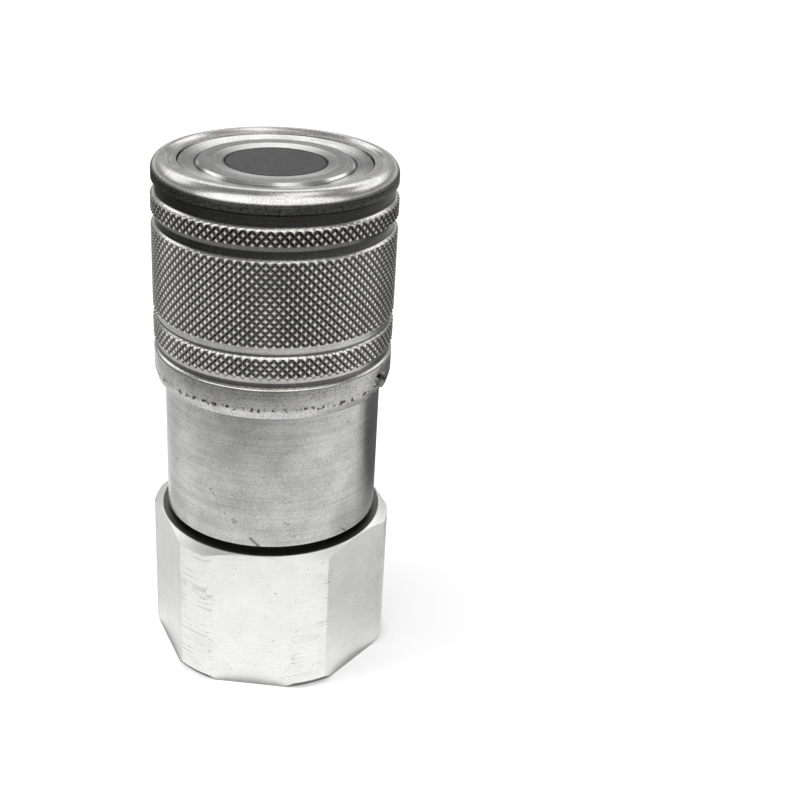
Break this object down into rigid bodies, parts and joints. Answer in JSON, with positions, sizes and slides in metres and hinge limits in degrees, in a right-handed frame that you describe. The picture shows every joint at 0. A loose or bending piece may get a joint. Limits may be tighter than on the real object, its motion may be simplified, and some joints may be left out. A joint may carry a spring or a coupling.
{
  "type": "flat face quick coupling socket",
  "caption": "Hydraulic quick coupling socket with a flat sealing face, a knurled locking sleeve and a hexagon with a threaded port.",
  "frame": {"origin": "centre of the port face, on which it stands", "axes": "+Z along the coupling's axis, from the threaded port to the flat face"},
  "size_m": [0.04, 0.0382, 0.0855],
  "materials": {
    "adapter": "matte silver zinc plating",
    "body": "turned, silver zinc plating",
    "sleeve": "knurled, silver zinc plating",
    "valve": "fine turned, plated",
    "stem": "dark, smooth",
    "hub": "plated",
    "ball": "polished hardened steel",
    "spring": "drawn spring wire",
    "seal": "moulded",
    "backup": "moulded"
  },
  "bodies": {
    "socket": {"port_adapter": "adapter", "adapter_seal": "seal", "adapter_backup_ring": "backup", "socket_body": "body", "safety_ball": "ball", "bore_seal": "seal", "bore_backup_ring": "backup", "valve_stem": "stem", "head_seal": "seal", "stem_hub": "hub", "valve_spring": "spring"},
    "sleeve_carriage": {"sleeve_stop_ring": "spring", "sleeve_spring": "spring"},
    "sleeve": {"locking_sleeve": "sleeve"},
    "valve": {"valve_sleeve": "valve"},
    "ball_01": {"lock_ball_01": "ball"},
    "ball_02": {"lock_ball_02": "ball"},
    "ball_03": {"lock_ball_03": "ball"},
    "ball_04": {"lock_ball_04": "ball"},
    "ball_05": {"lock_ball_05": "ball"},
    "ball_06": {"lock_ball_06": "ball"},
    "ball_07": {"lock_ball_07": "ball"},
    "ball_08": {"lock_ball_08": "ball"},
    "ball_09": {"lock_ball_09": "ball"},
    "ball_10": {"lock_ball_10": "ball"}
  },
  "joints": [
    {"name": "sleeve_slide", "type": "slide", "parent": "socket", "child": "sleeve_carriage", "axis": [0, 0, 1], "range_m": [0, 0.0038], "deforming": ["sleeve_spring"]},
    {"name": "sleeve_turn", "type": "hinge", "parent": "sleeve_carriage", "child": "sleeve", "pos_m": [0, 0, 0], "axis": [0, 0, 1], "range_deg": [-1.8, 1.8]},
    {"name": "valve_slide", "type": "slide", "parent": "socket", "child": "valve", "axis": [0, 0, 1], "range_m": [-0.0096, 0], "stiffness_N_per_m": 5000, "springref_m": 0.008, "deforming": ["valve_spring"]},
    {"name": "ball_01_in", "type": "slide", "parent": "socket", "child": "ball_01", "axis": [0, -1, 0], "range_m": [-0.0011, 0]},
    {"name": "ball_02_in", "type": "slide", "parent": "socket", "child": "ball_02", "axis": [0.5878, -0.809, 0], "range_m": [-0.0011, 0]},
    {"name": "ball_03_in", "type": "slide", "parent": "socket", "child": "ball_03", "axis": [0.9511, -0.309, 0], "range_m": [-0.0011, 0]},
    {"name": "ball_04_in", "type": "slide", "parent": "socket", "child": "ball_04", "axis": [0.9511, 0.309, 0], "range_m": [-0.0011, 0]},
    {"name": "ball_05_in", "type": "slide", "parent": "socket", "child": "ball_05", "axis": [0.5878, 0.809, 0], "range_m": [-0.0011, 0]},
    {"name": "ball_06_in", "type": "slide", "parent": "socket", "child": "ball_06", "axis": [0, 1, 0], "range_m": [-0.0011, 0]},
    {"name": "ball_07_in", "type": "slide", "parent": "socket", "child": "ball_07", "axis": [-0.5878, 0.809, 0], "range_m": [-0.0011, 0]},
    {"name": "ball_08_in", "type": "slide", "parent": "socket", "child": "ball_08", "axis": [-0.9511, 0.309, 0], "range_m": [-0.0011, 0]},
    {"name": "ball_09_in", "type": "slide", "parent": "socket", "child": "ball_09", "axis": [-0.9511, -0.309, 0], "range_m": [-0.0011, 0]},
    {"name": "ball_10_in", "type": "slide", "parent": "socket", "child": "ball_10", "axis": [-0.5878, -0.809, 0], "range_m": [-0.0011, 0]}
  ],
  "couplings": [
    {"joint": "ball_01_in", "follows": "sleeve_slide", "ratio": -0.28947},
    {"joint": "ball_02_in", "follows": "sleeve_slide", "ratio": -0.28947},
    {"joint": "ball_03_in", "follows": "sleeve_slide", "ratio": -0.28947},
    {"joint": "ball_04_in", "follows": "sleeve_slide", "ratio": -0.28947},
    {"joint": "ball_05_in", "follows": "sleeve_slide", "ratio": -0.28947},
    {"joint": "ball_06_in", "follows": "sleeve_slide", "ratio": -0.28947},
    {"joint": "ball_07_in", "follows": "sleeve_slide", "ratio": -0.28947},
    {"joint": "ball_08_in", "follows": "sleeve_slide", "ratio": -0.28947},
    {"joint": "ball_09_in", "follows": "sleeve_slide", "ratio": -0.28947},
    {"joint": "ball_10_in", "follows": "sleeve_slide", "ratio": -0.28947}
  ]
}
